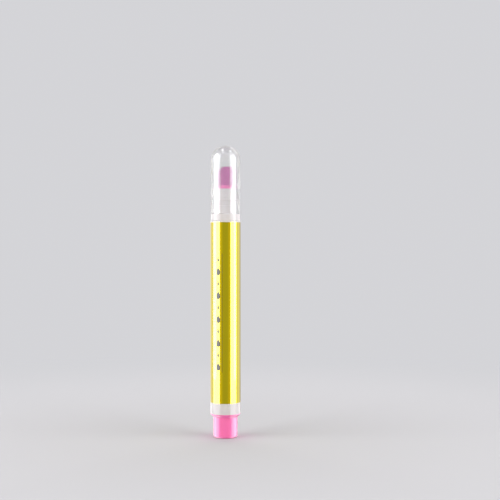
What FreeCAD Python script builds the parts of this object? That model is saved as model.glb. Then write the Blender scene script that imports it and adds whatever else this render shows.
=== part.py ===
import FreeCAD
import Part

import math
import os

# A nail oil pen: a fibre reservoir in a barrel feeds oil through a wick to a porous ceramic tip,
# under a clear cap that pulls off. Millimetres. The pen stands on its tail: the origin is the
# middle of the tail's end face and +Z runs along the pen's axis towards the tip.

# Barrel. The other pieces take their diameters from it through walls, gaps and setbacks.
BARREL_OUTER_D = 12.8
BARREL_WALL = 1.1
BARREL_LENGTH = 81.5
BARREL_EDGE_ROUND = 0.15
BARREL_RIB_COUNT = 6
BARREL_RIB_HEIGHT = 0.55
BARREL_RIB_WIDTH = 0.8

# Gold film round the barrel, butted at a seam on the back.
LABEL_THICKNESS = 0.08
LABEL_SEAM_GAP = 0.5
LABEL_BARE_BELOW = 4.75
LABEL_BARE_ABOVE = 0.6

# Tail plug: a boss that stands out behind, a tapered flange on the barrel's end, a skirt in its bore.
PLUG_BOSS_LENGTH = 8.8
PLUG_BOSS_ROUND = 1.0
PLUG_FLANGE_HEIGHT = 1.4
PLUG_FLANGE_RIM = 0.3
PLUG_FLANGE_SETBACK = 0.05
PLUG_FLANGE_STEP = 0.15
PLUG_SKIRT_LENGTH = 6.0
PLUG_SKIRT_ROUND = 0.3
PLUG_WALL = 1.2

# Nozzle: a spigot in the barrel, a collar on its end, the seat of the cap, a middle section
# with a sealing bead at its top, and a cone up to the tip's ring.
NOZZLE_SPIGOT_LENGTH = 7.0
NOZZLE_SPIGOT_ROUND = 0.3
NOZZLE_COLLAR_HEIGHT = 2.9
NOZZLE_COLLAR_ROUND = 0.2
NOZZLE_COLLAR_SETBACK = 0.2
NOZZLE_SEAT_HEIGHT = 3.5
NOZZLE_MID_HEIGHT = 2.7
NOZZLE_MID_STEP = 0.12
NOZZLE_BEAD_HEIGHT = 0.7
NOZZLE_BEAD_PROUD = 0.15
NOZZLE_BEAD_ROUND = 0.12
NOZZLE_CONE_HEIGHT = 4.5
NOZZLE_CONE_STEP = 0.4
NOZZLE_FRONT_LIP = 0.85
NOZZLE_FRONT_ROUND = 0.35
NOZZLE_VENT_COUNT = 3
NOZZLE_VENT_WIDTH = 0.5
NOZZLE_VENT_DEPTH = 0.35

# Ceramic tip: a head with a bevel on its left side, and a stem in the ring.
TIP_HEAD_D = 6.15
TIP_HEAD_LENGTH = 8.0
TIP_BEVEL_SPAN = 2.0
TIP_BEVEL_ANGLE = 45.0
TIP_EDGE_ROUND = 1.0
TIP_STEM_WALL = 0.75

# Ring that holds the tip: a band against the head, and a sleeve in the nozzle's socket.
RING_BAND_HEIGHT = 1.4
RING_BAND_PROUD = 0.2
RING_BAND_ROUND = 0.3
RING_SLEEVE_WALL = 0.6
RING_SLEEVE_LENGTH = 4.0

# Wick and reservoir.
WICK_D = 3.0
WICK_IN_TIP = 7.0
WICK_IN_RESERVOIR = 10.0
RESERVOIR_FILM_THICKNESS = 0.1

# Cap.
CAP_SETBACK = 0.2
CAP_WALL = 0.65
CAP_STEP = 0.15
CAP_STEP_LIFT = 0.5
CAP_RIM_ROUND = 0.2
CAP_HEADROOM = 7.5
CAP_TOP_WALL = 1.4
CAP_DOME_FLAT_R = 0.5

# Gaps between pieces that fit, each measured on one side, and the overrun of cuts.
PRESS_GAP = 0.02
SLIP_GAP = 0.05
CAP_GAP = 0.13
POST_GAP = 0.4
OVERRUN = 1.0
TOUCH = 0.0001

# Radii that more than one piece uses.
barrel_r = BARREL_OUTER_D / 2
bore_r = barrel_r - BARREL_WALL
spigot_r = bore_r - PRESS_GAP
cap_outer_r = barrel_r - CAP_SETBACK
cap_bore_r = cap_outer_r - CAP_WALL
seat_r = cap_bore_r - CAP_GAP
boss_r = cap_bore_r - POST_GAP
wick_r = WICK_D / 2
wick_hole_r = wick_r + SLIP_GAP
tip_r = TIP_HEAD_D / 2
stem_r = wick_hole_r + TIP_STEM_WALL
ring_bore_r = stem_r + PRESS_GAP
sleeve_r = ring_bore_r + RING_SLEEVE_WALL
band_r = tip_r + RING_BAND_PROUD
rib_inner_r = bore_r - BARREL_RIB_HEIGHT
film_outer_r = rib_inner_r - SLIP_GAP
film_inner_r = film_outer_r - RESERVOIR_FILM_THICKNESS

# Heights above the tail's end face that more than one piece uses.
barrel_bottom = PLUG_BOSS_LENGTH + PLUG_FLANGE_HEIGHT
barrel_top = barrel_bottom + BARREL_LENGTH
skirt_top = barrel_bottom + PLUG_SKIRT_LENGTH
spigot_bottom = barrel_top - NOZZLE_SPIGOT_LENGTH
reservoir_bottom = skirt_top + SLIP_GAP
reservoir_top = spigot_bottom - SLIP_GAP
collar_top = barrel_top + NOZZLE_COLLAR_HEIGHT
seat_top = collar_top + NOZZLE_SEAT_HEIGHT
mid_top = seat_top + NOZZLE_MID_HEIGHT
nozzle_front = mid_top + NOZZLE_CONE_HEIGHT
sleeve_end = nozzle_front - RING_SLEEVE_LENGTH
head_base = nozzle_front + RING_BAND_HEIGHT
tip_end = head_base + TIP_HEAD_LENGTH
wick_top = sleeve_end + WICK_IN_TIP
wick_bottom = reservoir_top - WICK_IN_RESERVOIR


def rounded_corner(before, corner, after, radius):
    """Start, middle and end of the arc that rounds a corner between two straight edges."""
    back = (before - corner).normalize()
    ahead = (after - corner).normalize()
    half_angle = back.getAngle(ahead) / 2
    reach = radius / math.tan(half_angle)
    depth = radius / math.sin(half_angle) - radius
    inward = (back + ahead).normalize()
    return corner + back * reach, corner + inward * depth, corner + ahead * reach


def turned(points):
    """Turn a closed outline of points about the pen's axis: (radius, height), and a round if it has one."""
    corners = [FreeCAD.Vector(point[0], 0, point[1]) for point in points]
    arcs = []
    for index, point in enumerate(points):
        corner = corners[index]
        if len(point) == 2:
            arcs.append((corner, corner, corner))
        else:
            after = corners[(index + 1) % len(corners)]
            arcs.append(rounded_corner(corners[index - 1], corner, after, point[2]))
    edges = []
    for index, (start, middle, end) in enumerate(arcs):
        last_end = arcs[index - 1][2]
        if not last_end.isEqual(start, TOUCH):
            edges.append(Part.LineSegment(last_end, start).toShape())
        if not start.isEqual(end, TOUCH):
            edges.append(Part.Arc(start, middle, end).toShape())
    face = Part.Face(Part.Wire(edges))
    return face.revolve(FreeCAD.Vector(0, 0, 0), FreeCAD.Vector(0, 0, 1), 360)


def tube(inner_r, outer_r, bottom, top):
    """A plain tube on the pen's axis."""
    return turned([(inner_r, bottom), (outer_r, bottom), (outer_r, top), (inner_r, top)])


def bar(inner_r, outer_r, width, bottom, top, turn):
    """An upright bar from one radius to another, turned about the pen's axis by degrees."""
    corner = FreeCAD.Vector(inner_r, -width / 2, bottom)
    shape = Part.makeBox(outer_r - inner_r, width, top - bottom, corner)
    shape.rotate(FreeCAD.Vector(0, 0, 0), FreeCAD.Vector(0, 0, 1), turn)
    return shape


def make_barrel():
    """White tube, with ribs inside that hold the reservoir and leave air channels beside it."""
    shape = turned([
        (bore_r, barrel_bottom),
        (barrel_r, barrel_bottom, BARREL_EDGE_ROUND),
        (barrel_r, barrel_top, BARREL_EDGE_ROUND),
        (bore_r, barrel_top),
    ])
    rooted_r = bore_r + BARREL_WALL / 2
    for index in range(BARREL_RIB_COUNT):
        turn = 360 * index / BARREL_RIB_COUNT
        rib = bar(rib_inner_r, rooted_r, BARREL_RIB_WIDTH, reservoir_bottom, reservoir_top, turn)
        shape = shape.fuse(rib)
    return shape.removeSplitter()


def make_label_film():
    """Thin film round the barrel, from the bare ring at the tail to just below the collar."""
    inner_r = barrel_r + PRESS_GAP
    outer_r = inner_r + LABEL_THICKNESS
    bottom = barrel_bottom + LABEL_BARE_BELOW
    top = barrel_top - LABEL_BARE_ABOVE
    film = tube(inner_r, outer_r, bottom, top)
    seam = bar(0, outer_r + OVERRUN, LABEL_SEAM_GAP, bottom - OVERRUN, top + OVERRUN, 90)
    return film.cut(seam)


def make_tail_plug():
    """Hollow plug: a closed boss behind, a flange that tapers to it, and a skirt under the reservoir."""
    flange_r = barrel_r - PLUG_FLANGE_SETBACK
    hollow_r = min(boss_r, spigot_r) - PLUG_WALL
    return turned([
        (0, 0),
        (boss_r, 0, PLUG_BOSS_ROUND),
        (boss_r, PLUG_BOSS_LENGTH),
        (boss_r + PLUG_FLANGE_STEP, PLUG_BOSS_LENGTH),
        (flange_r, barrel_bottom - PLUG_FLANGE_RIM),
        (flange_r, barrel_bottom),
        (spigot_r, barrel_bottom),
        (spigot_r, skirt_top, PLUG_SKIRT_ROUND),
        (hollow_r, skirt_top),
        (hollow_r, PLUG_WALL),
        (0, PLUG_WALL),
    ])


def make_nozzle():
    """White stepped front: spigot, collar, cap seat, middle section with bead, cone, and the bores."""
    collar_r = barrel_r - NOZZLE_COLLAR_SETBACK
    mid_r = seat_r - NOZZLE_MID_STEP
    bead_r = mid_r + NOZZLE_BEAD_PROUD
    bead_bottom = mid_top - NOZZLE_BEAD_HEIGHT
    cone_r = mid_r - NOZZLE_CONE_STEP
    front_r = band_r + NOZZLE_FRONT_LIP
    socket_r = sleeve_r + PRESS_GAP
    shape = turned([
        (wick_hole_r, spigot_bottom),
        (spigot_r, spigot_bottom, NOZZLE_SPIGOT_ROUND),
        (spigot_r, barrel_top),
        (collar_r, barrel_top, NOZZLE_COLLAR_ROUND),
        (collar_r, collar_top, NOZZLE_COLLAR_ROUND),
        (seat_r, collar_top),
        (seat_r, seat_top),
        (mid_r, seat_top),
        (mid_r, bead_bottom),
        (bead_r, bead_bottom, NOZZLE_BEAD_ROUND),
        (bead_r, mid_top, NOZZLE_BEAD_ROUND),
        (cone_r, mid_top),
        (front_r, nozzle_front, NOZZLE_FRONT_ROUND),
        (socket_r, nozzle_front),
        (socket_r, sleeve_end),
        (wick_hole_r, sleeve_end),
    ])
    vent_r = wick_hole_r + NOZZLE_VENT_DEPTH
    for index in range(NOZZLE_VENT_COUNT):
        turn = 360 * index / NOZZLE_VENT_COUNT
        vent = bar(0, vent_r, NOZZLE_VENT_WIDTH, spigot_bottom - OVERRUN, sleeve_end + OVERRUN, turn)
        shape = shape.cut(vent)
    return shape


def make_tip_ring():
    """Pink ring: a band under the tip's head, and a sleeve round its stem in the nozzle's socket."""
    return turned([
        (ring_bore_r, sleeve_end),
        (sleeve_r, sleeve_end),
        (sleeve_r, nozzle_front),
        (band_r, nozzle_front, RING_BAND_ROUND),
        (band_r, head_base, RING_BAND_ROUND),
        (ring_bore_r, head_base),
    ])


def bevel_prism():
    """The wedge that the tip's bevel takes off its end, on the left side."""
    slope = math.tan(math.radians(TIP_BEVEL_ANGLE))
    edge_x = TIP_BEVEL_SPAN - tip_r
    far_x = -tip_r - OVERRUN
    outline = [
        FreeCAD.Vector(edge_x + OVERRUN, -tip_r - OVERRUN, tip_end + OVERRUN * slope),
        FreeCAD.Vector(far_x, -tip_r - OVERRUN, tip_end + OVERRUN * slope),
        FreeCAD.Vector(far_x, -tip_r - OVERRUN, tip_end - (edge_x - far_x) * slope),
    ]
    face = Part.Face(Part.makePolygon(outline + outline[:1]))
    return face.extrude(FreeCAD.Vector(0, 2 * (tip_r + OVERRUN), 0))


def make_ceramic_tip():
    """Porous tip: a head with a bevelled, rounded end, and a stem that is bored for the wick."""
    shape = turned([
        (wick_hole_r, sleeve_end),
        (stem_r, sleeve_end),
        (stem_r, head_base),
        (tip_r, head_base),
        (tip_r, tip_end),
        (0, tip_end),
        (0, wick_top + SLIP_GAP),
        (wick_hole_r, wick_top + SLIP_GAP),
    ])
    shape = shape.cut(bevel_prism())
    bevel_low = tip_end - TIP_BEVEL_SPAN * math.tan(math.radians(TIP_BEVEL_ANGLE))
    end_edges = [edge for edge in shape.Edges if edge.BoundBox.ZMin > bevel_low - TIP_EDGE_ROUND]
    return shape.makeFillet(TIP_EDGE_ROUND, end_edges)


def make_feed_wick():
    """Fibre rod from inside the reservoir, through the nozzle, to the bore in the tip."""
    return Part.makeCylinder(wick_r, wick_top - wick_bottom, FreeCAD.Vector(0, 0, wick_bottom))


def make_oil_reservoir():
    """Bundle of fibres between the plug's skirt and the nozzle's spigot, bored for the wick."""
    outer_r = film_inner_r - PRESS_GAP
    hole_bottom = wick_bottom - SLIP_GAP
    return turned([
        (0, reservoir_bottom),
        (outer_r, reservoir_bottom),
        (outer_r, reservoir_top),
        (wick_hole_r, reservoir_top),
        (wick_hole_r, hole_bottom),
        (0, hole_bottom),
    ])


def make_reservoir_film():
    """Thin film sleeve round the fibres, as long as they are."""
    return tube(film_inner_r, film_outer_r, reservoir_bottom, reservoir_top)


def make_cap():
    """Clear cap: a wide bore over the nozzle's seat, a step to a thicker wall, and a domed end."""
    inner_r = cap_bore_r - CAP_STEP
    rim = collar_top + SLIP_GAP
    step = mid_top + CAP_STEP_LIFT
    inside_top = tip_end + CAP_HEADROOM
    top = inside_top + CAP_TOP_WALL
    return turned([
        (cap_bore_r, rim, CAP_RIM_ROUND),
        (cap_outer_r, rim, CAP_RIM_ROUND),
        (cap_outer_r, top, cap_outer_r - CAP_DOME_FLAT_R),
        (0, top),
        (0, inside_top),
        (inner_r, inside_top, inner_r - CAP_DOME_FLAT_R),
        (inner_r, step),
        (cap_bore_r, step),
    ])


PIECES = {
    "cap": make_cap,
    "ceramic_tip": make_ceramic_tip,
    "tip_ring": make_tip_ring,
    "nozzle": make_nozzle,
    "barrel": make_barrel,
    "label_film": make_label_film,
    "tail_plug": make_tail_plug,
    "feed_wick": make_feed_wick,
    "oil_reservoir": make_oil_reservoir,
    "reservoir_film": make_reservoir_film,
}

os.makedirs("parts", exist_ok=True)
for name, make in PIECES.items():
    make().exportStep(os.path.join("parts", name + ".step"))
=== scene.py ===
import math

import bpy
from bpy.props import FloatProperty, FloatVectorProperty, IntProperty, PointerProperty
from mathutils import Matrix, Vector


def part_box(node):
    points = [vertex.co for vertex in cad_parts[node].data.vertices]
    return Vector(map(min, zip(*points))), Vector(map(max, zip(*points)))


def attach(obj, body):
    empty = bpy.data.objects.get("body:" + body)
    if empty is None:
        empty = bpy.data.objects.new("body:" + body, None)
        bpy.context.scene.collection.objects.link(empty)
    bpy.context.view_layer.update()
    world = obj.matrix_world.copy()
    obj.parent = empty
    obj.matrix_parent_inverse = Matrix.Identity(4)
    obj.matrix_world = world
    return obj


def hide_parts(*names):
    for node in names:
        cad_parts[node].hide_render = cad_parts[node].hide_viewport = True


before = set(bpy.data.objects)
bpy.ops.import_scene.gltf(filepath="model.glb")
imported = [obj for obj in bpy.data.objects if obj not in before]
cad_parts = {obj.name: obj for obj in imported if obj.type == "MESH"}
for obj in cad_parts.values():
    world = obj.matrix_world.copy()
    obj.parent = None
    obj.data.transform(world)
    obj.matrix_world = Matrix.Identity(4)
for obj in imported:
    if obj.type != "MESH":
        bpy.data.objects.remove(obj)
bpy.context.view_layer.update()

bl_info = {
    "name": "Nail oil pen",
    "version": (1, 0, 0),
    "blender": (4, 5, 0),
    "location": "3D View > Sidebar > Oil pen",
    "description": "Dresses the solids of a nail oil pen with turned pieces and finishes",
    "category": "Object",
}

# One millimetre, in metres. The sizes below read the solids' boxes before anything is added.
MM = 0.001

# How finely the pieces are turned and rounded, how near two points are merged, from which angle on
# an edge stays sharp, and how many sides the floor has.
TURN_STEPS = 180
ARC_STEP = math.radians(9)
MERGE = 0.5e-6
SMOOTH_ANGLE = math.radians(32)
FLOOR_SIDES = 128

# The tip: how many flats make its crown's round, how its edges are softened, the level of the
# grain's texture that leaves the surface where it is, and the room past the wick's end.
CROWN_CUTS = 6
SOFTEN_FACTOR = 0.5
SOFTEN_PASSES = 6
PORE_LEVEL = 0.75
WICK_ROOM = 0.05 * MM

# How much of the film's wave is left where the film is tight.
TIGHT_SHARE = 0.25

# Printed drops: the bare share at each end of a drop's space, how much narrower a small drop is,
# the factor that brings the outline's greatest half width to 1, and how soft the print's edge is.
DROP_MARGIN_SHARE = 0.14
SMALL_DROP_CUT = 0.45
DROP_SCALE = 2.6
PRINT_EDGE = 0.05 * MM

# The share of the light that goes straight through the clear cap, as it does through a thin wall.
STRAIGHT_SHARE = 0.4

# The room: how dim its sides are through clear pieces and where that sets in, across the view, and
# where its colours change, along the view, first as a light and then as mirrored in gloss.
DIM_SHARE = 0.8
DIM_RAMP = (0.35, 0.85)
LIT_RAMP = (-1.0, -0.8)
WARM_RAMP = (-0.98, -0.8)
SIDE_RAMP = (-0.78, -0.7)

# The camera: its place in metres, and its lens and sensor in millimetres. It looks along +Y.
CAMERA_PLACE = (0.01043, -0.425, 0.0794)
CAMERA_LENS = 72
CAMERA_SENSOR = 36
CAMERA_NEAR = 0.01

# Degrees round the pen, from the camera's side to the right, between which each side's lamps stand.
LAMP_TURNS = (
    {"name": "left", "panel": (-38, -88), "gloss": (-42, -71), "strip": (-71, -100),
     "edge": (-100, -165), "clear": (-42, -96), "plug": (-60, -122), "rim": (-94, -160)},
    {"name": "right", "panel": (38, 88), "gloss": (40, 66), "strip": (66, 87),
     "edge": (87, 132), "clear": (40, 88), "plug": (60, 118), "rim": (86, 150)},
)
BACK_TURNS = (140, 220)

# The moulded pieces that the rim lamps are for.
RIM_PIECES = ("white_barrel", "white_nozzle", "pink_plug")

# Directions from the dome to the two small lamps that it mirrors.
GLINTS = (("left", (-0.26, 0.06, 0.96)), ("right", (0.445, 0.0, 0.895)))


def bottom_of(node):
    """Lowest height of a solid."""
    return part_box(node)[0].z


def top_of(node):
    """Greatest height of a solid."""
    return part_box(node)[1].z


def radius_of(node):
    """Greatest radius of a round solid."""
    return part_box(node)[1].x


def length(name, description, default):
    """A property that holds a length."""
    return FloatProperty(name=name, description=description, default=default, min=0.0,
                         precision=5, subtype="DISTANCE", unit="LENGTH")


def angle(name, description, default):
    """A property that holds an angle, given in degrees."""
    return FloatProperty(name=name, description=description, default=math.radians(default),
                         subtype="ANGLE", unit="ROTATION")


def place(name, description, default):
    """A property that holds a height above the floor, or below it."""
    return FloatProperty(name=name, description=description, default=default, precision=5,
                         subtype="DISTANCE", unit="LENGTH")


def level(name, description, default):
    """A property that holds a light level, where 1 is white."""
    return FloatProperty(name=name, description=description, default=default, min=0.0)


def number(name, description, default):
    """A property that holds a number of things."""
    return IntProperty(name=name, description=description, default=default, min=1)


def colour(name, description, default):
    """A property that holds a linear colour."""
    return FloatVectorProperty(name=name, description=description, default=default, size=3,
                               min=0.0, max=1.0, subtype="COLOR")


class CapSizes(bpy.types.PropertyGroup):
    """Sizes of the clear cap."""
    rim: length("Rim", "Height of the cap's open rim", bottom_of("cap"))
    top: length("Top", "Height of the dome's top", top_of("cap"))
    outer: length("Outer radius", "Radius of the cap's outside", radius_of("cap"))
    wall: length("Wall", "Wall at the wide bore", 0.65 * MM)
    step: length("Step", "How much narrower the bore is above the step", 0.15 * MM)
    step_height: length("Step height", "Height of the step in the bore", 101.3 * MM)
    step_round: length("Step round", "Round of the step's edges", 0.05 * MM)
    top_wall: length("Top wall", "Thickness of the dome in the middle", 1.4 * MM)
    dome_flat: length("Dome flat", "Radius of the dome's flat middle", 0.1 * MM)
    rim_round: length("Rim round", "Round of the rim's edges", 0.2 * MM)


class TipSizes(bpy.types.PropertyGroup):
    """Sizes of the porous tip."""
    stem_bottom: length("Stem bottom", "Height of the stem's lower end", bottom_of("ceramic_tip"))
    end: length("End", "Height of the tip's end", top_of("ceramic_tip"))
    head: length("Head radius", "Radius of the head", radius_of("ceramic_tip"))
    head_base: length("Head base", "Height of the head's shoulder", top_of("tip_ring"))
    stem: length("Stem radius", "Radius of the stem", 2.3 * MM)
    hole: length("Hole radius", "Radius of the wick's hole", 1.55 * MM)
    hole_end: length("Hole end", "Height of the hole's end", top_of("feed_wick") + WICK_ROOM)
    bevel_span: length("Bevel span", "How much of the end the bevel takes", 2.0 * MM)
    bevel_angle: angle("Bevel angle", "Slope of the bevel", 45.0)
    crown_round: length("Crown round", "Round between the bevel and the flat end", 2.0 * MM)
    edge_round: length("Edge round", "Round of the end's rim", 1.0 * MM)
    grain: length("Grain", "Size of the mesh that carries the pores", 0.13 * MM)
    pore_size: length("Pore size", "Width of the open pores", 0.286 * MM)
    pore_depth: length("Pore depth", "Depth of the open pores", 0.05 * MM)


class RingSizes(bpy.types.PropertyGroup):
    """Sizes of the ring that holds the tip."""
    sleeve_end: length("Sleeve end", "Height of the sleeve's lower end", bottom_of("tip_ring"))
    top: length("Top", "Height of the band's top", top_of("tip_ring"))
    band: length("Band radius", "Radius of the band", radius_of("tip_ring"))
    sleeve: length("Sleeve radius", "Radius of the sleeve", 2.92 * MM)
    bore: length("Bore radius", "Radius of the bore", 2.32 * MM)
    band_round: length("Band round", "Round of the band's edges", 0.3 * MM)


class NozzleSizes(bpy.types.PropertyGroup):
    """Sizes of the stepped nozzle."""
    bottom: length("Bottom", "Height of the spigot's lower end", bottom_of("nozzle"))
    front: length("Front", "Height of the front face", top_of("nozzle"))
    collar: length("Collar radius", "Radius of the collar", radius_of("nozzle"))
    spigot: length("Spigot radius", "Radius of the spigot in the barrel", 5.28 * MM)
    spigot_round: length("Spigot round", "Round of the spigot's end", 0.3 * MM)
    collar_height: length("Collar height", "Height of the collar", 2.9 * MM)
    seat: length("Seat radius", "Radius of the cap's seat", 5.42 * MM)
    seat_height: length("Seat height", "Height of the cap's seat", 3.5 * MM)
    middle: length("Middle radius", "Radius of the middle section", 5.3 * MM)
    middle_height: length("Middle height", "Height of the middle section with its bead", 2.7 * MM)
    bead: length("Bead radius", "Radius of the sealing bead", 5.45 * MM)
    bead_height: length("Bead height", "Height of the sealing bead", 0.7 * MM)
    foot_round: length("Foot round", "Round at the foot of the middle section", 0.04 * MM)
    cone: length("Cone radius", "Radius of the cone's foot", 4.9 * MM)
    face: length("Face radius", "Radius of the cone's front", 4.125 * MM)
    socket: length("Socket radius", "Radius of the ring's socket", 2.94 * MM)
    socket_bottom: length("Socket bottom", "Height of the socket's floor", bottom_of("tip_ring"))
    hole: length("Hole radius", "Radius of the wick's hole", 1.55 * MM)
    edge: length("Edge round", "Round of the small edges", 0.08 * MM)
    collar_round: length("Collar round", "Round of the collar's edges", 0.2 * MM)
    front_round: length("Front round", "Round of the cone's front edge", 0.35 * MM)


class BarrelSizes(bpy.types.PropertyGroup):
    """Sizes of the white barrel."""
    bottom: length("Bottom", "Height of the barrel's lower end", bottom_of("barrel"))
    top: length("Top", "Height of the barrel's upper end", top_of("barrel"))
    outer: length("Outer radius", "Radius of the barrel", radius_of("barrel"))
    bore: length("Bore radius", "Radius of the bore", 5.3 * MM)
    edge: length("Edge round", "Round of the ends' outer edges", 0.15 * MM)
    rib_count: number("Ribs", "How many ribs hold the reservoir", 6)
    rib_height: length("Rib height", "How far the ribs stand in from the bore", 0.55 * MM)
    rib_half_angle: angle("Rib half angle", "Half of the angle that a rib takes up", 4.1)
    rib_bottom: length("Rib bottom", "Height of the ribs' lower ends", bottom_of("oil_reservoir"))
    rib_top: length("Rib top", "Height of the ribs' upper ends", top_of("oil_reservoir"))


class WrapSizes(bpy.types.PropertyGroup):
    """Sizes of the gold film and its print."""
    bottom: length("Bottom", "Height of the film's lower edge", bottom_of("label_film"))
    top: length("Top", "Height of the film's upper edge", top_of("label_film"))
    outer: length("Outer radius", "Radius of the film's outside", radius_of("label_film"))
    thickness: length("Thickness", "Thickness of the film", 0.08 * MM)
    seam: length("Seam", "Gap between the film's two edges, at the back", 0.5 * MM)
    row: length("Row", "Height of one row of the mesh", 0.8 * MM)
    wave: length("Wave", "How far the film lifts and dips", 0.03 * MM)
    wave_size: length("Wave size", "Width of one lift", 6.0 * MM)
    loose_top: length("Loose top", "Height below which the film is less tight", 34.0 * MM)
    column_turn: angle("Column turn", "Place of the printed drops, from the front", -27.0)
    column_bottom: length("Column bottom", "Height where the printed drops start", 28.0 * MM)
    column_pitch: length("Column pitch", "Height of one printed drop's space", 5.0 * MM)
    column_count: number("Column drops", "How many drops are printed", 10)
    drop_half: length("Drop half width", "Half the width of a large drop", 0.95 * MM)
    rule_offset: length("Rule offset", "Place of the fine rules beside the drops", 1.8 * MM)
    rule_half: length("Rule half width", "Half the width of a fine rule", 0.09 * MM)


class PlugSizes(bpy.types.PropertyGroup):
    """Sizes of the pink tail plug."""
    bottom: length("Bottom", "Height of the end face", bottom_of("tail_plug"))
    skirt_top: length("Skirt top", "Height of the skirt's upper end", top_of("tail_plug"))
    flange: length("Flange radius", "Radius of the flange's rim", radius_of("tail_plug"))
    boss: length("Boss radius", "Radius of the boss", 5.15 * MM)
    boss_length: length("Boss length", "Length of the boss", 8.8 * MM)
    boss_round: length("Boss round", "Round of the boss's end", 1.0 * MM)
    flange_step: length("Flange step", "Small step at the foot of the flange's taper", 0.15 * MM)
    flange_rim: length("Flange rim", "Height of the flange's straight rim", 0.3 * MM)
    skirt: length("Skirt radius", "Radius of the skirt in the barrel", 5.28 * MM)
    skirt_round: length("Skirt round", "Round of the skirt's end", 0.3 * MM)
    wall: length("Wall", "Wall of the plug", 1.2 * MM)
    edge: length("Edge round", "Round of the flange's small edges", 0.06 * MM)


class PenColours(bpy.types.PropertyGroup):
    """Colours of the finishes."""
    clear: colour("Clear plastic", "Tint of the cap", (0.985, 0.988, 0.992))
    ceramic: colour("Ceramic", "Porous ceramic of the tip", (0.515, 0.195, 0.405))
    # The colour of the open pores, darker than the grains.
    ceramic_dark_pore: colour("Ceramic pores", "Oil in the open pores", (0.325, 0.1, 0.243))
    ring: colour("Ring", "Satin plastic of the ring", (0.775, 0.23, 0.49))
    white: colour("White plastic", "Gloss plastic of barrel and nozzle", (0.665, 0.632, 0.65))
    gold: colour("Gold film", "Metallised film", (0.80, 0.68, 0.016))
    gold_deep: colour("Deep gold", "Denser parts of the film", (0.74, 0.60, 0.012))
    ink: colour("Ink", "Print on the film", (0.012, 0.011, 0.010))
    pink: colour("Pink plastic", "Gloss plastic of the tail plug", (0.99, 0.165, 0.48))
    fibre: colour("Fibre", "Wick and reservoir", (0.84, 0.79, 0.66))
    fibre_soaked: colour("Soaked fibre", "Fibre that holds more oil", (0.66, 0.57, 0.36))
    sleeve: colour("Sleeve film", "Film round the fibres", (0.90, 0.90, 0.88))
    studio: colour("Studio", "Surroundings that the camera sees", (0.66, 0.66, 0.685))
    # Painted shade: the floor is coloured darker near the pen, where the lamps light it more.
    floor_shade_near: colour("Near floor", "Floor where lamps light it more", (0.52, 0.525, 0.55))
    floor_far: colour("Far floor", "Floor further from the pen", (0.575, 0.58, 0.607))
    room_front: colour("Room in front", "Room that gloss mirrors in the middle", (0.45, 0.44, 0.08))
    room_warm: colour("Warm room", "Room that gloss mirrors further out", (0.76, 0.64, 0.06))
    room_side: colour("Room beside", "Room that gloss mirrors at the sides", (0.61, 0.58, 0.57))


class StageLight(bpy.types.PropertyGroup):
    """Light levels of the stage, where 1 is white, and the places of its lamps."""
    panel: level("Soft panels", "Level of the wide panels that light the surfaces", 2.1)
    back: level("Back panel", "Level of the wide panel behind the pen", 1.0)
    gloss: level("Gloss panels", "Level of the panels that glossy surfaces mirror", 4.2)
    strip: level("Gloss strips", "Level of the bright strips beside the gloss panels", 7.2)
    edge: level("Gloss edges", "Level of the dim panels that the outermost edges mirror", 0.35)
    clear: level("Cap gloss", "Level of the panels that the cap alone mirrors", 4.3)
    plug: level("Plug gloss", "Level of the panels that the plug alone mirrors", 3.5)
    rim: level("Moulded rims", "Level of the panels that only moulded edges mirror", 1.6)
    glint: level("Glints", "Level of the two small lamps that the cap's dome mirrors", 10.0)
    distance: length("Lamp distance", "How far the mirrored lamps stand from the pen", 0.25)
    panel_distance: length("Panel distance", "How far the soft panels stand from the pen", 0.6)
    gloss_bottom: place("Gloss bottom", "Height of the mirrored lamps' lower edges", -0.6)
    strip_bottom: place("Strip bottom", "Height of the bright strips' lower edges", -0.006)
    gloss_top: place("Gloss top", "Height of the mirrored lamps' upper edges", 0.35)
    panel_top: place("Panel top", "Height of the soft panels' upper edges", 1.2)
    glint_size: length("Glint size", "Width of the small lamps", 0.06)
    floor_radius: length("Floor radius", "Radius of the round floor", 1.6)
    even_end: length("Even end", "Where the floor's colour stops evening out the lamps", 0.2)
    fade_start: length("Fade start", "Where the floor starts to fade into the surroundings", 0.06)
    fade_end: length("Fade end", "Where the floor is as pale as the surroundings", 0.32)


class PenSettings(bpy.types.PropertyGroup):
    """All settings of the pen."""
    cap: PointerProperty(type=CapSizes, name="Cap", description="Sizes of the cap")
    tip: PointerProperty(type=TipSizes, name="Tip", description="Sizes of the tip")
    ring: PointerProperty(type=RingSizes, name="Ring", description="Sizes of the ring")
    nozzle: PointerProperty(type=NozzleSizes, name="Nozzle", description="Sizes of the nozzle")
    barrel: PointerProperty(type=BarrelSizes, name="Barrel", description="Sizes of the barrel")
    wrap: PointerProperty(type=WrapSizes, name="Wrap", description="Sizes of the gold film")
    plug: PointerProperty(type=PlugSizes, name="Plug", description="Sizes of the tail plug")
    colours: PointerProperty(type=PenColours, name="Colours", description="Colours of the finishes")
    stage: PointerProperty(type=StageLight, name="Stage", description="Light levels of the stage")


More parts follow.
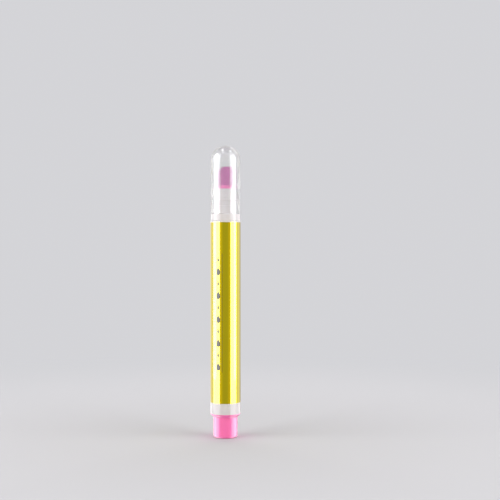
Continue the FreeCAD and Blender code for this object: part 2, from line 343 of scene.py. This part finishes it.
class Wire:
    """A value on its way through a material's nodes, so that sums on it are written as Python."""

    def __init__(self, finish, socket):
        self.finish = finish
        self.socket = socket

    def out(self, name):
        """Another output of the same node."""
        return Wire(self.finish, self.socket.node.outputs[name])

    def maths(self, operation, *values):
        """One Math node."""
        return self.finish.add("ShaderNodeMath", {"operation": operation}, dict(enumerate(values)))

    def __add__(self, other):
        return self.maths("ADD", self, other)

    def __sub__(self, other):
        return self.maths("SUBTRACT", self, other)

    def __rsub__(self, other):
        return self.maths("SUBTRACT", other, self)

    def __mul__(self, other):
        return self.maths("MULTIPLY", self, other)

    def __truediv__(self, other):
        return self.maths("DIVIDE", self, other)

    def __rtruediv__(self, other):
        return self.maths("DIVIDE", other, self)

    def __gt__(self, other):
        return self.maths("GREATER_THAN", self, other)

    def __lt__(self, other):
        return self.maths("LESS_THAN", self, other)

    def __abs__(self):
        return self.maths("ABSOLUTE", self)

    def __neg__(self):
        return self.maths("MULTIPLY", self, -1.0)

    __radd__ = __add__
    __rmul__ = __mul__

    def floor(self):
        """The whole part of the value."""
        return self.maths("FLOOR", self)

    def held(self):
        """The value held between 0 and 1."""
        return self.finish.add("ShaderNodeClamp", {}, {"Value": self})

    def eased(self, start, end):
        """A smooth rise from 0 at start to 1 at end."""
        return self.finish.add("ShaderNodeMapRange", {"interpolation_type": "SMOOTHSTEP"},
                               {"Value": self, "From Min": start, "From Max": end})


class Finish:
    """The nodes of one material or of the world."""

    def __init__(self, owner):
        owner.use_nodes = True
        self.owner = owner
        self.tree = owner.node_tree
        self.tree.nodes.clear()

    def add(self, kind, settings=None, inputs=None, output=0):
        """Add one node: its type, its settings, and the values or wires of its sockets."""
        node = self.tree.nodes.new(kind)
        for key, value in (settings or {}).items():
            setattr(node, key, value)
        for key, value in (inputs or {}).items():
            if isinstance(value, Wire):
                self.tree.links.new(value.socket, node.inputs[key])
            else:
                node.inputs[key].default_value = value
        return Wire(self, node.outputs[output]) if node.outputs else None

    def place(self, along=1.0):
        """Object coordinates, where a share under 1 draws a pattern out along the pen's axis."""
        where = self.add("ShaderNodeTexCoord", output="Object")
        if along == 1.0:
            return where
        return self.add("ShaderNodeVectorMath", {"operation": "MULTIPLY"},
                        {0: where, 1: (1.0, 1.0, along)})

    def noise(self, size, detail=2.0, along=1.0):
        """Noise with features of about this size, in metres."""
        return self.add("ShaderNodeTexNoise", {},
                        {"Vector": self.place(along), "Scale": 1.0 / size, "Detail": detail})

    def mixed(self, mask, first, second):
        """One colour where the mask is 0 and another where it is 1."""
        return self.add("ShaderNodeMix", {"data_type": "RGBA"},
                        {0: mask, 6: first, 7: second}, output=2)

    def bump(self, height, depth):
        """The normal of a surface whose height, from 0 to 1, stands for this depth in metres."""
        return self.add("ShaderNodeBump", {},
                        {"Strength": 1.0, "Distance": depth, "Height": height})

    def principled(self, **sockets):
        """The main shader, its sockets named with underscores."""
        named = {key.replace("_", " "): value for key, value in sockets.items()}
        return self.add("ShaderNodeBsdfPrincipled", {}, named)

    def close(self, shader):
        """Join the last shader to the output."""
        kind = "World" if isinstance(self.owner, bpy.types.World) else "Material"
        self.add("ShaderNodeOutput" + kind, {}, {"Surface": shader})
        return self.owner


def opaque(rgb):
    """A colour with full alpha."""
    return (rgb[0], rgb[1], rgb[2], 1.0)


def shaded(rgb, factor):
    """A colour made darker or lighter."""
    return tuple(min(1.0, channel * factor) for channel in rgb[:3]) + (1.0,)


def new_finish(name):
    """A new material's nodes."""
    return Finish(bpy.data.materials.new(name))


def moulded_finish(name, rgb, roughness, scatter, ior=1.5):
    """Gloss plastic: faint flow marks, a fine skin and small rubbed patches."""
    nodes = new_finish(name)
    flow = nodes.noise(size=9 * MM, detail=3.0, along=0.35)
    rubbed = nodes.noise(size=1.6 * MM, detail=4.0)
    skin = nodes.noise(size=0.22 * MM)
    tint = nodes.mixed(flow, shaded(rgb, 0.965), shaded(rgb, 1.03))
    gloss = roughness * 0.75 + rubbed * (roughness * 0.5)
    shader = nodes.principled(
        Base_Color=tint, Roughness=gloss, IOR=ior, Subsurface_Weight=scatter,
        Subsurface_Radius=(1.0, 0.6, 0.6), Subsurface_Scale=0.4 * MM,
        Normal=nodes.bump(skin, depth=0.0012 * MM))
    return nodes.close(shader)


def clear_finish(rgb):
    """Clear plastic with hairline rub marks along it, which casts no dark shadow."""
    nodes = new_finish("clear_plastic")
    rub = nodes.noise(size=0.5 * MM, detail=3.0, along=0.04)
    smear = nodes.noise(size=7 * MM, detail=3.0)
    gloss = 0.008 + rub.eased(0.62, 0.85) * 0.05 + smear.eased(0.5, 0.8) * 0.02
    ripple = nodes.noise(size=5 * MM, detail=1.0, along=0.5)
    plastic = nodes.principled(
        Base_Color=opaque(rgb), Roughness=gloss, IOR=1.58, Transmission_Weight=1.0,
        Normal=nodes.bump(ripple, depth=0.004 * MM))
    passed = nodes.add("ShaderNodeBsdfTransparent", {}, {"Color": opaque(rgb)})
    shadow = nodes.add("ShaderNodeLightPath", output="Is Shadow Ray")
    straight = shadow.maths("MAXIMUM", shadow, STRAIGHT_SHARE)
    return nodes.close(nodes.add("ShaderNodeMixShader", {}, {0: straight, 1: plastic, 2: passed}))


def ceramic_finish(rgb, dark_pore_rgb):
    """Porous ceramic: fused grains, open pores coloured darker than the grains, and a soft mottle.
    """
    nodes = new_finish("porous_ceramic")
    cell_size = 0.16 * MM
    cells = nodes.add("ShaderNodeTexVoronoi", {},
                      {"Vector": nodes.place(), "Scale": 1.0 / cell_size})
    pores = 1 - cells.eased(0.1, 0.42)
    mottle = nodes.noise(size=1.1 * MM, detail=4.0)
    grain = nodes.noise(size=0.09 * MM)
    body = nodes.mixed(mottle, shaded(rgb, 0.93), shaded(rgb, 1.07))
    # The open pores are coloured darker than the grains.
    tint = nodes.mixed(pores * (0.25 + grain * 0.5), body, opaque(dark_pore_rgb))
    height = grain * 0.4 - pores * 0.6
    shader = nodes.principled(
        Base_Color=tint, Roughness=0.62 + mottle * 0.3, Specular_IOR_Level=0.2,
        Normal=nodes.bump(height, depth=0.02 * MM))
    return nodes.close(shader)


def fibre_finish(rgb, soaked_rgb):
    """Bundled fibres along the pen's axis, darker where they hold more oil."""
    nodes = new_finish("fibre")
    strands = nodes.noise(size=0.12 * MM, detail=3.0, along=0.02)
    soak = nodes.noise(size=9 * MM)
    tint = nodes.mixed(soak * (0.4 + strands * 0.6), opaque(rgb), opaque(soaked_rgb))
    shader = nodes.principled(
        Base_Color=tint, Roughness=0.7 + strands * 0.25,
        Normal=nodes.bump(strands, depth=0.03 * MM))
    return nodes.close(shader)


def sleeve_finish(rgb):
    """Thin clear film that clings to the fibres."""
    nodes = new_finish("sleeve_film")
    crease = nodes.noise(size=1.2 * MM, detail=3.0, along=0.15)
    shader = nodes.principled(
        Base_Color=opaque(rgb), Roughness=0.12 + crease * 0.2, Alpha=0.28 + crease * 0.15,
        Normal=nodes.bump(crease, depth=0.01 * MM))
    return nodes.close(shader)


def drop_column(across, height, start, pitch, count, half_width):
    """Mask of printed drops, large and small in turn, that point along the pen to its tip."""
    step = (height - start) / pitch
    within = (step > 0.0) * (step < float(count))
    small = step.floor().maths("FLOORED_MODULO", step.floor(), 2.0)
    margin = (1 + small) * DROP_MARGIN_SHARE
    along = ((step - step.floor() - margin) / (1 - margin * 2.0)).held()
    narrowed = (1 - small * SMALL_DROP_CUT) * (half_width * DROP_SCALE)
    width = along.maths("SQRT", along) * (1 - along) * narrowed
    return ((width - abs(across)) / PRINT_EDGE).held() * within


def gold_finish(colours, wrap):
    """Metallised film under a clear coat, with streaks, scuffs and a print of drops and rules."""
    nodes = new_finish("gold_film")
    where = nodes.add("ShaderNodeSeparateXYZ", {}, {0: nodes.place()})
    height = where.out("Z")
    turn = where.maths("ARCTAN2", where, -where.out("Y"))
    across = (turn - wrap.column_turn) * wrap.outer
    drops = drop_column(across, height, wrap.column_bottom, wrap.column_pitch, wrap.column_count,
                        wrap.drop_half)
    rules = abs(abs(across) - wrap.rule_offset) < wrap.rule_half
    column_top = wrap.column_bottom + wrap.column_pitch * wrap.column_count
    rules = rules * (height > wrap.column_bottom) * (height < column_top)
    print_mask = drops.maths("MAXIMUM", drops, rules)
    streak = nodes.noise(size=1.2 * MM, along=0.05)
    cloud = nodes.noise(size=14 * MM)
    scuff = nodes.noise(size=3 * MM, detail=3.0, along=0.6).eased(0.6, 0.8)
    foil = nodes.mixed(cloud, opaque(colours.gold_deep), opaque(colours.gold))
    tint = nodes.mixed(print_mask, foil, opaque(colours.ink))
    gloss = 0.08 + streak * 0.03 + scuff * 0.05 + print_mask * 0.3
    shader = nodes.principled(
        Base_Color=tint, Metallic=1 - print_mask, Roughness=gloss,
        Coat_Weight=1 - scuff * 0.25 - print_mask * 0.7, Coat_Roughness=0.04, Coat_IOR=1.8,
        Normal=nodes.bump(streak, depth=0.0003 * MM))
    return nodes.close(shader)


def floor_finish(colours, stage):
    """Pale floor that keeps the pen's shadow, is painted darker near the pen as painted shade that
    evens out the lamps' light there, and fades into the surroundings further out.
    """
    nodes = new_finish("studio_floor")
    where = nodes.place()
    reach = nodes.add("ShaderNodeVectorMath", {"operation": "LENGTH"}, {0: where}, output="Value")
    mottle = nodes.noise(size=300 * MM)
    # Painted shade: darker near the pen, where the lamps light the floor more, so that the floor
    # looks even.
    tint = nodes.mixed(reach.eased(0.0, stage.even_end) * (0.96 + mottle * 0.08),
                       opaque(colours.floor_shade_near), opaque(colours.floor_far))
    surface = nodes.principled(
        Base_Color=tint, Roughness=0.9 + mottle * 0.05, Specular_IOR_Level=0.0)
    far = nodes.add("ShaderNodeEmission", {}, {"Color": opaque(colours.studio), "Strength": 1.0})
    fade = reach.eased(stage.fade_start, stage.fade_end)
    return nodes.close(nodes.add("ShaderNodeMixShader", {}, {0: fade, 1: surface, 2: far}))


def studio_world(colours):
    """Pale surroundings to the camera, dimmer at the sides through clear pieces, or else a room."""
    world = bpy.data.worlds.new("studio")
    nodes = Finish(world)
    ray = nodes.add("ShaderNodeLightPath", output="Is Camera Ray")
    through = ray.out("Is Transmission Ray")
    direction = nodes.add("ShaderNodeTexCoord", output="Generated")
    across = nodes.add("ShaderNodeSeparateXYZ", {}, {0: direction})
    along = across.out("Y")
    dimmed = through * abs(across).eased(*DIM_RAMP)
    seen_tint = nodes.mixed(dimmed, opaque(colours.studio), shaded(colours.studio, DIM_SHARE))
    front = opaque(colours.room_front)
    side = opaque(colours.room_side)
    lit_tint = nodes.mixed(along.eased(*LIT_RAMP), front, side)
    warm_tint = nodes.mixed(along.eased(*WARM_RAMP), front, opaque(colours.room_warm))
    mirrored_tint = nodes.mixed(along.eased(*SIDE_RAMP), warm_tint, side)
    room_tint = nodes.mixed(ray.out("Is Glossy Ray"), lit_tint, mirrored_tint)
    seen = nodes.add("ShaderNodeBackground", {}, {"Color": seen_tint, "Strength": 1.0})
    room = nodes.add("ShaderNodeBackground", {}, {"Color": room_tint, "Strength": 1.0})
    mask = ray.maths("MAXIMUM", ray, through)
    nodes.close(nodes.add("ShaderNodeMixShader", {}, {0: mask, 1: room, 2: seen}))
    return world


def arc_points(before, corner, after, radius):
    """Points of the arc that rounds a corner between two straight edges."""
    back = (before - corner).normalized()
    ahead = (after - corner).normalized()
    half = back.angle(ahead) / 2
    centre = corner + (back + ahead).normalized() * (radius / math.sin(half))
    first = corner + back * (radius / math.tan(half)) - centre
    turn = math.pi - 2 * half
    if back.x * ahead.y - back.y * ahead.x > 0:
        turn = -turn
    steps = max(2, math.ceil(abs(turn) / ARC_STEP))
    return [centre + Matrix.Rotation(turn * step / steps, 2) @ first for step in range(steps + 1)]


def outline(corners):
    """Points (radius, height) of a closed outline, from corners that may each have a round."""
    places = [Vector(corner[:2]) for corner in corners]
    points = []
    for index, corner in enumerate(corners):
        if len(corner) == 2:
            points.append(places[index])
        else:
            after = places[(index + 1) % len(places)]
            points += arc_points(places[index - 1], places[index], after, corner[2])
    return points


def start_point(name, spot):
    """A new piece in edit mode: a small plane drawn together to one point."""
    bpy.ops.object.select_all(action="DESELECT")
    bpy.ops.mesh.primitive_plane_add(size=MM, location=(0, 0, 0))
    piece = bpy.context.object
    piece.name = name
    bpy.ops.object.mode_set(mode="EDIT")
    bpy.ops.mesh.select_mode(type="VERT")
    bpy.ops.mesh.select_all(action="SELECT")
    bpy.ops.mesh.merge(type="CENTER")
    bpy.ops.mesh.select_all(action="SELECT")
    bpy.ops.transform.translate(value=spot)
    return piece


def turned(name, corners, start=0.0, sweep=math.tau):
    """Turn a closed outline about the pen's axis: extrude its points one by one, then spin it."""
    points = outline(corners)
    across = Vector((math.cos(start), math.sin(start), 0))
    places = [across * point.x + Vector((0, 0, point.y)) for point in points]
    piece = start_point(name, places[0])
    for here, there in zip(places, places[1:] + places[:1]):
        bpy.ops.mesh.extrude_region_move(TRANSFORM_OT_translate={"value": there - here})
    bpy.ops.mesh.select_all(action="SELECT")
    bpy.ops.mesh.remove_doubles(threshold=MERGE)
    bpy.ops.mesh.select_all(action="SELECT")
    steps = round(TURN_STEPS * sweep / math.tau)
    bpy.ops.mesh.spin(steps=steps, angle=sweep, center=(0, 0, 0), axis=(0, 0, 1))
    bpy.ops.mesh.select_all(action="SELECT")
    bpy.ops.mesh.remove_doubles(threshold=MERGE)
    if sweep < math.tau:
        bpy.ops.mesh.fill_holes(sides=0)
        bpy.ops.mesh.select_all(action="SELECT")
    bpy.ops.mesh.normals_make_consistent(inside=False)
    bpy.ops.object.mode_set(mode="OBJECT")
    if len(piece.data.vertices) < len(points):
        raise RuntimeError(name + " was not turned")
    return piece


def select_faces(piece, test):
    """In edit mode, select the faces whose centre passes a test."""
    bpy.ops.mesh.select_mode(type="FACE")
    bpy.ops.mesh.select_all(action="DESELECT")
    bpy.ops.object.mode_set(mode="OBJECT")
    chosen = [face for face in piece.data.polygons if test(face.center)]
    for face in chosen:
        face.select = True
    bpy.ops.object.mode_set(mode="EDIT")
    if not chosen:
        raise RuntimeError(piece.name + " has no faces to work on")


def apply_modifier(piece, kind, **settings):
    """Add a modifier to the active piece, set it and apply it."""
    bpy.ops.object.modifier_add(type=kind)
    modifier = piece.modifiers[-1]
    for key, value in settings.items():
        setattr(modifier, key, value)
    bpy.ops.object.modifier_apply(modifier=modifier.name)


def smoothed(piece):
    """Shade a turned piece smooth, with its long walls straight in reflections."""
    bpy.ops.object.shade_smooth_by_angle(angle=SMOOTH_ANGLE)
    apply_modifier(piece, "WEIGHTED_NORMAL", mode="FACE_AREA", keep_sharp=True)


def placed(piece, body, node, finish):
    """Give a piece its finish and its body, and hide the solid that it stands for."""
    piece.data.materials.clear()
    piece.data.materials.append(finish)
    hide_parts(node)
    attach(piece, body)


class OILPEN_OT_cap(bpy.types.Operator):
    """Clear domed cap with a stepped bore"""
    bl_idname = "oil_pen.cap"
    bl_label = "Clear cap"

    def execute(self, context):
        settings = context.scene.oil_pen
        size = settings.cap
        bore = size.outer - size.wall
        inner = bore - size.step
        inside_top = size.top - size.top_wall
        piece = turned("clear_cap", [
            (bore, size.rim, size.rim_round),
            (size.outer, size.rim, size.rim_round),
            (size.outer, size.top, size.outer - size.dome_flat),
            (0, size.top),
            (0, inside_top),
            (inner, inside_top, inner - size.dome_flat),
            (inner, size.step_height, size.step_round),
            (bore, size.step_height, size.step_round),
        ])
        smoothed(piece)
        placed(piece, "cap", "cap", clear_finish(settings.colours.clear))
        return {"FINISHED"}


class OILPEN_OT_tip(bpy.types.Operator):
    """Porous tip with a bevelled end"""
    bl_idname = "oil_pen.tip"
    bl_label = "Porous tip"

    def execute(self, context):
        settings = context.scene.oil_pen
        size = settings.tip
        piece = turned("porous_tip", [
            (size.hole, size.stem_bottom),
            (size.stem, size.stem_bottom),
            (size.stem, size.head_base),
            (size.head, size.head_base),
            (size.head, size.end, size.edge_round),
            (0, size.end),
            (0, size.hole_end),
            (size.hole, size.hole_end),
        ])
        crown_x = size.bevel_span - size.head + size.crown_round * math.tan(size.bevel_angle / 2)
        crown = Vector((crown_x, 0, size.end - size.crown_round))
        bpy.ops.object.mode_set(mode="EDIT")
        for step in range(CROWN_CUTS):
            tilt = size.bevel_angle * (step + 1) / CROWN_CUTS
            away = Vector((-math.sin(tilt), 0, math.cos(tilt)))
            bpy.ops.mesh.select_all(action="SELECT")
            bpy.ops.mesh.bisect(plane_co=crown + away * size.crown_round, plane_no=away,
                                use_fill=True, clear_outer=True, threshold=MERGE)
        bpy.ops.object.mode_set(mode="OBJECT")
        apply_modifier(piece, "REMESH", mode="VOXEL", voxel_size=size.grain)
        apply_modifier(piece, "SMOOTH", factor=SOFTEN_FACTOR, iterations=SOFTEN_PASSES)
        grain = bpy.data.textures.new("ceramic_grain", "CLOUDS")
        grain.noise_scale = size.pore_size
        grain.noise_depth = 2
        apply_modifier(piece, "DISPLACE", texture=grain, texture_coords="LOCAL",
                       strength=size.pore_depth, mid_level=PORE_LEVEL)
        bpy.ops.object.shade_smooth()
        finish = ceramic_finish(settings.colours.ceramic, settings.colours.ceramic_dark_pore)
        placed(piece, "pen", "ceramic_tip", finish)
        return {"FINISHED"}


class OILPEN_OT_ring(bpy.types.Operator):
    """Pink ring that holds the tip"""
    bl_idname = "oil_pen.ring"
    bl_label = "Tip ring"

    def execute(self, context):
        settings = context.scene.oil_pen
        size = settings.ring
        front = settings.nozzle.front
        piece = turned("pink_ring", [
            (size.bore, size.sleeve_end),
            (size.sleeve, size.sleeve_end),
            (size.sleeve, front),
            (size.band, front, size.band_round),
            (size.band, size.top, size.band_round),
            (size.bore, size.top),
        ])
        smoothed(piece)
        finish = moulded_finish("ring_plastic", settings.colours.ring, roughness=0.42, scatter=0.1)
        placed(piece, "pen", "tip_ring", finish)
        return {"FINISHED"}


class OILPEN_OT_nozzle(bpy.types.Operator):
    """White stepped nozzle with its collar, cap seat, bead and cone"""
    bl_idname = "oil_pen.nozzle"
    bl_label = "Nozzle"

    def execute(self, context):
        settings = context.scene.oil_pen
        size = settings.nozzle
        barrel_top = settings.barrel.top
        collar_top = barrel_top + size.collar_height
        seat_top = collar_top + size.seat_height
        middle_top = seat_top + size.middle_height
        bead_bottom = middle_top - size.bead_height
        piece = turned("white_nozzle", [
            (size.hole, size.bottom),
            (size.spigot, size.bottom, size.spigot_round),
            (size.spigot, barrel_top),
            (size.collar, barrel_top, size.collar_round),
            (size.collar, collar_top, size.collar_round),
            (size.seat, collar_top, size.edge),
            (size.seat, seat_top, size.edge),
            (size.middle, seat_top, size.foot_round),
            (size.middle, bead_bottom, size.edge),
            (size.bead, bead_bottom, size.edge),
            (size.bead, middle_top, size.edge),
            (size.cone, middle_top, size.edge),
            (size.face, size.front, size.front_round),
            (size.socket, size.front),
            (size.socket, size.socket_bottom),
            (size.hole, size.socket_bottom),
        ])
        smoothed(piece)
        white = settings.colours.white
        finish = moulded_finish("nozzle_plastic", white, roughness=0.13, scatter=0.08)
        placed(piece, "pen", "nozzle", finish)
        return {"FINISHED"}


class OILPEN_OT_barrel(bpy.types.Operator):
    """White barrel with ribs inside"""
    bl_idname = "oil_pen.barrel"
    bl_label = "Barrel"

    def execute(self, context):
        settings = context.scene.oil_pen
        size = settings.barrel
        piece = turned("white_barrel", [
            (size.bore, size.bottom),
            (size.outer, size.bottom, size.edge),
            (size.outer, size.top, size.edge),
            (size.bore, size.top),
            (size.bore, size.rib_top),
            (size.bore, size.rib_bottom),
        ])
        pitch = math.tau / size.rib_count

        def on_rib(centre):
            off = math.remainder(math.atan2(centre.y, centre.x), pitch)
            between = size.rib_bottom < centre.z < size.rib_top
            return between and centre.xy.length < size.bore and abs(off) < size.rib_half_angle

        bpy.ops.object.mode_set(mode="EDIT")
        select_faces(piece, on_rib)
        bpy.ops.mesh.extrude_region_move()
        inwards = 1 - size.rib_height / size.bore
        bpy.ops.transform.resize(value=(inwards, inwards, 1), center_override=(0, 0, 0))
        bpy.ops.object.mode_set(mode="OBJECT")
        smoothed(piece)
        white = settings.colours.white
        finish = moulded_finish("barrel_plastic", white, roughness=0.12, scatter=0.08)
        placed(piece, "pen", "barrel", finish)
        return {"FINISHED"}


class OILPEN_OT_wrap(bpy.types.Operator):
    """Gold film round the barrel, butted at the back"""
    bl_idname = "oil_pen.wrap"
    bl_label = "Gold film"

    def execute(self, context):
        settings = context.scene.oil_pen
        size = settings.wrap
        inner = size.outer - size.thickness
        half_gap = size.seam / 2 / size.outer
        rows = round((size.top - size.bottom) / size.row)
        heights = [size.bottom + (size.top - size.bottom) * row / rows for row in range(rows + 1)]
        corners = [(size.outer, height) for height in heights]
        corners += [(inner, size.top), (inner, size.bottom)]
        piece = turned("gold_wrap", corners, math.pi / 2 + half_gap, math.tau - 2 * half_gap)
        skin = piece.vertex_groups.new(name="skin")
        middle_r = size.outer - size.thickness / 2
        for point in piece.data.vertices:
            if point.co.xy.length > middle_r:
                below = (size.loose_top - point.co.z) / (size.loose_top - size.bottom)
                slack = min(1.0, max(0.0, below))
                skin.add([point.index], TIGHT_SHARE + (1 - TIGHT_SHARE) * slack, "REPLACE")
        wave = bpy.data.textures.new("film_wave", "CLOUDS")
        wave.noise_scale = size.wave_size
        wave.noise_depth = 0
        apply_modifier(piece, "DISPLACE", texture=wave, texture_coords="LOCAL", vertex_group="skin",
                       strength=size.wave)
        bpy.ops.object.shade_smooth_by_angle(angle=SMOOTH_ANGLE)
        placed(piece, "pen", "label_film", gold_finish(settings.colours, size))
        return {"FINISHED"}


class OILPEN_OT_plug(bpy.types.Operator):
    """Pink tail plug: boss, tapered flange and skirt"""
    bl_idname = "oil_pen.plug"
    bl_label = "Tail plug"

    def execute(self, context):
        settings = context.scene.oil_pen
        size = settings.plug
        barrel_bottom = settings.barrel.bottom
        hollow = min(size.boss, size.skirt) - size.wall
        piece = turned("pink_plug", [
            (0, size.bottom),
            (size.boss, size.bottom, size.boss_round),
            (size.boss, size.boss_length, size.edge),
            (size.boss + size.flange_step, size.boss_length, size.edge),
            (size.flange, barrel_bottom - size.flange_rim, size.edge),
            (size.flange, barrel_bottom, size.edge),
            (size.skirt, barrel_bottom),
            (size.skirt, size.skirt_top, size.skirt_round),
            (hollow, size.skirt_top),
            (hollow, size.bottom + size.wall),
            (0, size.bottom + size.wall),
        ])
        smoothed(piece)
        pink = settings.colours.pink
        finish = moulded_finish("pink_plastic", pink, roughness=0.2, scatter=0.15, ior=1.75)
        placed(piece, "pen", "tail_plug", finish)
        return {"FINISHED"}


class OILPEN_OT_fibres(bpy.types.Operator):
    """Finishes of the wick, the reservoir and its sleeve, which keep their solids"""
    bl_idname = "oil_pen.fibres"
    bl_label = "Fibres"

    def execute(self, context):
        colours = context.scene.oil_pen.colours
        fibre = fibre_finish(colours.fibre, colours.fibre_soaked)
        sleeve = sleeve_finish(colours.sleeve)
        finishes = {"feed_wick": fibre, "oil_reservoir": fibre, "reservoir_film": sleeve}
        for node, finish in finishes.items():
            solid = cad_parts[node]
            solid.data.materials.clear()
            solid.data.materials.append(finish)
        return {"FINISHED"}


def add_lamp(name, spot, aim, width, height, radiance, mirrored):
    """A flat lamp that faces a point: a mirrored one shows in gloss, any other lights surfaces."""
    facing = (spot - aim).to_track_quat("Z", "Y").to_euler()
    bpy.ops.object.light_add(type="AREA", location=spot, rotation=facing)
    lamp = bpy.context.object
    lamp.name = name
    lamp.data.shape = "RECTANGLE"
    lamp.data.size = width
    lamp.data.size_y = height
    lamp.data.energy = radiance * math.pi * width * height
    lamp.visible_camera = False
    lamp.visible_transmission = False
    lamp.visible_glossy = mirrored
    lamp.visible_diffuse = not mirrored
    return lamp


def side_lamp(name, distance, turns, heights, radiance, mirrored):
    """An upright lamp beside the pen, between two angles from the camera's side and two heights."""
    first, last = (Vector((math.sin(turn), -math.cos(turn), 0)) * distance
                   for turn in map(math.radians, turns))
    aim = Vector((0, 0, sum(heights) / 2))
    spot = (first + last) / 2 + aim
    width = (last - first).length
    return add_lamp(name, spot, aim, width, heights[1] - heights[0], radiance, mirrored)


def receivers(name, pieces, state="INCLUDE"):
    """A group of pieces that some lamps are for, or that they leave out."""
    group = bpy.data.collections.new(name)
    for piece in pieces:
        group.objects.link(bpy.data.objects[piece])
    for member in group.collection_objects:
        member.light_linking.link_state = state
    return group


class OILPEN_OT_stage(bpy.types.Operator):
    """Pale floor, lamps at both sides and the camera"""
    bl_idname = "oil_pen.stage"
    bl_label = "Stage"

    def execute(self, context):
        settings = context.scene.oil_pen
        stage = settings.stage
        bpy.ops.object.select_all(action="DESELECT")
        bpy.ops.mesh.primitive_circle_add(vertices=FLOOR_SIDES, radius=stage.floor_radius,
                                          fill_type="NGON")
        floor = context.object
        floor.name = "floor"
        floor.data.materials.append(floor_finish(settings.colours, stage))
        floor.visible_glossy = False
        context.scene.world = studio_world(settings.colours)
        panel = (0.0, stage.panel_top)
        whole = (stage.gloss_bottom, stage.gloss_top)
        upper = (stage.strip_bottom, stage.gloss_top)
        lower = (stage.gloss_bottom, stage.strip_bottom)
        # The cap has lamps of its own besides the common ones, and the plug has its own instead.
        clear = receivers("clear_pieces", ("clear_cap",))
        moulded = receivers("moulded_pieces", RIM_PIECES)
        plug = receivers("plug_pieces", ("pink_plug",))
        others = receivers("pieces_but_plug", ("pink_plug",), "EXCLUDE")
        side_lamp("panel_back", stage.panel_distance, BACK_TURNS, panel, stage.back, False)
        for turns in LAMP_TURNS:
            name = turns["name"]
            side_lamp("panel_" + name, stage.panel_distance, turns["panel"], panel,
                      stage.panel, False)
            for kind, heights, radiance, group in (
                    ("gloss", whole, stage.gloss, others),
                    ("strip", upper, stage.strip, others),
                    ("strip", lower, stage.gloss, others),
                    ("edge", whole, stage.edge, others),
                    ("clear", whole, stage.clear, clear),
                    ("plug", whole, stage.plug, plug),
                    ("rim", whole, stage.rim, moulded)):
                lamp = side_lamp(kind + "_" + name, stage.distance, turns[kind], heights,
                                 radiance, True)
                lamp.light_linking.receiver_collection = group
        dome = Vector((0, 0, settings.cap.top))
        for name, direction in GLINTS:
            spot = dome + Vector(direction) * stage.distance
            add_lamp("glint_" + name, spot, dome, stage.glint_size, stage.glint_size,
                     stage.glint, True)
        bpy.ops.object.camera_add(location=CAMERA_PLACE, rotation=(math.pi / 2, 0, 0))
        camera = context.object
        camera.name = "camera"
        camera.data.lens = CAMERA_LENS
        camera.data.sensor_width = CAMERA_SENSOR
        camera.data.clip_start = CAMERA_NEAR
        context.scene.camera = camera
        context.scene.view_settings.view_transform = "Standard"
        return {"FINISHED"}


class VIEW3D_PT_oil_pen(bpy.types.Panel):
    """Lists the pen's pieces and sizes in the sidebar"""
    bl_idname = "VIEW3D_PT_oil_pen"
    bl_label = "Oil pen"
    bl_space_type = "VIEW_3D"
    bl_region_type = "UI"
    bl_category = "Oil pen"

    def draw(self, context):
        settings = context.scene.oil_pen
        for operator, group in STEPS:
            box = self.layout.box()
            box.operator(operator.bl_idname)
            if group:
                sizes = getattr(settings, group)
                for name in sizes.bl_rna.properties.keys():
                    if name not in ("name", "rna_type"):
                        box.prop(sizes, name)


STEPS = (
    (OILPEN_OT_plug, "plug"),
    (OILPEN_OT_barrel, "barrel"),
    (OILPEN_OT_wrap, "wrap"),
    (OILPEN_OT_nozzle, "nozzle"),
    (OILPEN_OT_ring, "ring"),
    (OILPEN_OT_tip, "tip"),
    (OILPEN_OT_cap, "cap"),
    (OILPEN_OT_fibres, "colours"),
    (OILPEN_OT_stage, "stage"),
)

CLASSES = (
    CapSizes, TipSizes, RingSizes, NozzleSizes, BarrelSizes, WrapSizes, PlugSizes, PenColours,
    StageLight, PenSettings, *(operator for operator, group in STEPS), VIEW3D_PT_oil_pen,
)


def register():
    """Register the classes and the scene's settings."""
    for item in CLASSES:
        bpy.utils.register_class(item)
    bpy.types.Scene.oil_pen = PointerProperty(type=PenSettings)


def unregister():
    """Undo register."""
    del bpy.types.Scene.oil_pen
    for item in reversed(CLASSES):
        bpy.utils.unregister_class(item)


def main():
    """Make the pieces and the stage."""
    register()
    bpy.ops.oil_pen.plug()
    bpy.ops.oil_pen.barrel()
    bpy.ops.oil_pen.wrap()
    bpy.ops.oil_pen.nozzle()
    bpy.ops.oil_pen.ring()
    bpy.ops.oil_pen.tip()
    bpy.ops.oil_pen.cap()
    bpy.ops.oil_pen.fibres()
    bpy.ops.oil_pen.stage()


if __name__ == "__main__":
    main()
